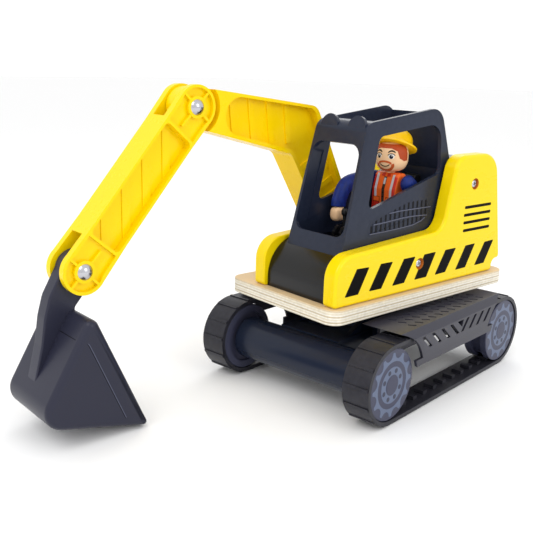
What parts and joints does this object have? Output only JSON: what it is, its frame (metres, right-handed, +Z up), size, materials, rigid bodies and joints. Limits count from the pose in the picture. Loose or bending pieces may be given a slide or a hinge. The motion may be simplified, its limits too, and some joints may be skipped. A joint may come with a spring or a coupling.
{
  "type": "toy excavator",
  "caption": "Tracked toy excavator with slewing plywood deck, cab with seated driver, and a hinged boom, stick and bucket.",
  "frame": {"origin": "on the ground under the turntable's axis, at the bottom of the belts", "axes": "+Z up along the turntable's axis; -Y is the machine's front and the tracks run along Y; +X is the machine's left. At rest the upper structure is turned 7.2 degrees clockwise seen from above."},
  "size_m": [0.1844, 0.3796, 0.2234],
  "materials": {
    "slate_plastic": "satin moulded",
    "cover_plastic": "satin moulded",
    "belt_rubber": "matt",
    "steel": "bright plated",
    "wheel_plastic": "satin with pad-printed face",
    "nylon": "natural",
    "birch_ply": "clear matt lacquer",
    "yellow_paint": "satin lacquer",
    "black_paint": "satin lacquer",
    "black_plastic": "satin",
    "golden_plastic": "semi-gloss moulded",
    "yellow_plastic": "semi-gloss moulded",
    "orange_vest": "printed lacquer",
    "blue_cloth_paint": "printed lacquer",
    "doll_skin": "matt lacquer",
    "helmet_yellow": "semi-gloss"
  },
  "bodies": {
    "undercarriage": {"chassis": "slate_plastic", "left_track_cover": "cover_plastic", "right_track_cover": "cover_plastic", "left_belt": "belt_rubber", "right_belt": "belt_rubber", "front_axle": "steel", "rear_axle": "steel", "thrust_washer": "nylon", "turntable_bolt": "steel", "turntable_washer": "steel", "turntable_nut": "steel"},
    "front_left": {"front_left_wheel": "wheel_plastic"},
    "front_right": {"front_right_wheel": "wheel_plastic"},
    "rear_left": {"rear_left_wheel": "wheel_plastic"},
    "rear_right": {"rear_right_wheel": "wheel_plastic"},
    "upper": {"deck": "birch_ply", "left_side_panel": "yellow_paint", "right_side_panel": "yellow_paint", "bonnet_block": "black_paint", "rear_block": "black_paint", "cab_shell": "slate_plastic", "seat": "black_plastic", "lever_console": "black_plastic", "panel_screws": "steel", "deck_screws": "steel", "boom_bracket": "golden_plastic", "boom_pin": "steel"},
    "lever": {"control_lever": "black_plastic"},
    "boom": {"boom_arm": "golden_plastic", "boom_washers": "nylon", "elbow_washers": "nylon"},
    "stick": {"stick_arm": "yellow_plastic", "elbow_rivet": "steel", "bucket_rivet": "steel"},
    "bucket": {"bucket_shell": "slate_plastic", "bucket_washers": "nylon"},
    "driver": {"driver_torso": "orange_vest", "driver_legs": "blue_cloth_paint"},
    "driver_head_body": {"driver_head": "doll_skin", "driver_helmet": "helmet_yellow"},
    "right_arm": {"driver_right_arm": "blue_cloth_paint"},
    "left_arm": {"driver_left_arm": "blue_cloth_paint"}
  },
  "joints": [
    {"name": "front_left_roll", "type": "hinge", "parent": "undercarriage", "child": "front_left", "pos_m": [0.067, -0.0808, 0.0296], "axis": [1, 0, 0], "continuous": true},
    {"name": "front_right_roll", "type": "hinge", "parent": "undercarriage", "child": "front_right", "pos_m": [-0.067, -0.0808, 0.0296], "axis": [1, 0, 0], "continuous": true},
    {"name": "rear_left_roll", "type": "hinge", "parent": "undercarriage", "child": "rear_left", "pos_m": [0.067, 0.0808, 0.0296], "axis": [1, 0, 0], "continuous": true},
    {"name": "rear_right_roll", "type": "hinge", "parent": "undercarriage", "child": "rear_right", "pos_m": [-0.067, 0.0808, 0.0296], "axis": [1, 0, 0], "continuous": true},
    {"name": "slew", "type": "hinge", "parent": "undercarriage", "child": "upper", "pos_m": [0, 0, 0.067], "axis": [0, 0, 1], "continuous": true},
    {"name": "boom_lift", "type": "hinge", "parent": "upper", "child": "boom", "pos_m": [-0.04315, 0.00948, 0.097], "axis": [0.9921, -0.1253, 0], "range_deg": [-35, 6]},
    {"name": "stick_swing", "type": "hinge", "parent": "boom", "child": "stick", "pos_m": [-0.0621, -0.14053, 0.2084], "axis": [-0.9921, 0.1253, 0], "range_deg": [-18, 50]},
    {"name": "bucket_curl", "type": "hinge", "parent": "stick", "child": "bucket", "pos_m": [-0.07291, -0.22604, 0.1076], "axis": [0.9921, -0.1253, 0], "range_deg": [-45, 75]},
    {"name": "lever_tilt", "type": "hinge", "parent": "upper", "child": "lever", "pos_m": [0.00267, -0.04267, 0.119], "axis": [0.9921, -0.1253, 0], "range_deg": [-18, 18]},
    {"name": "driver_lift_out", "type": "slide", "parent": "upper", "child": "driver", "axis": [0, 0, 1], "range_m": [0, 0.1]},
    {"name": "head_turn", "type": "hinge", "parent": "driver", "child": "driver_head_body", "pos_m": [0.01354, -0.00131, 0.16], "axis": [0, 0, 1], "range_deg": [-60, 60]},
    {"name": "right_arm_swing", "type": "hinge", "parent": "driver", "child": "right_arm", "pos_m": [-0.00094, 0.00052, 0.154], "axis": [0.9921, -0.1253, 0], "range_deg": [-50, 10]},
    {"name": "left_arm_swing", "type": "hinge", "parent": "driver", "child": "left_arm", "pos_m": [0.02803, -0.00314, 0.154], "axis": [0.9921, -0.1253, 0], "range_deg": [-75, 10]}
  ],
  "couplings": [
    {"joint": "rear_left_roll", "follows": "front_left_roll", "ratio": 1},
    {"joint": "rear_right_roll", "follows": "front_right_roll", "ratio": 1}
  ]
}
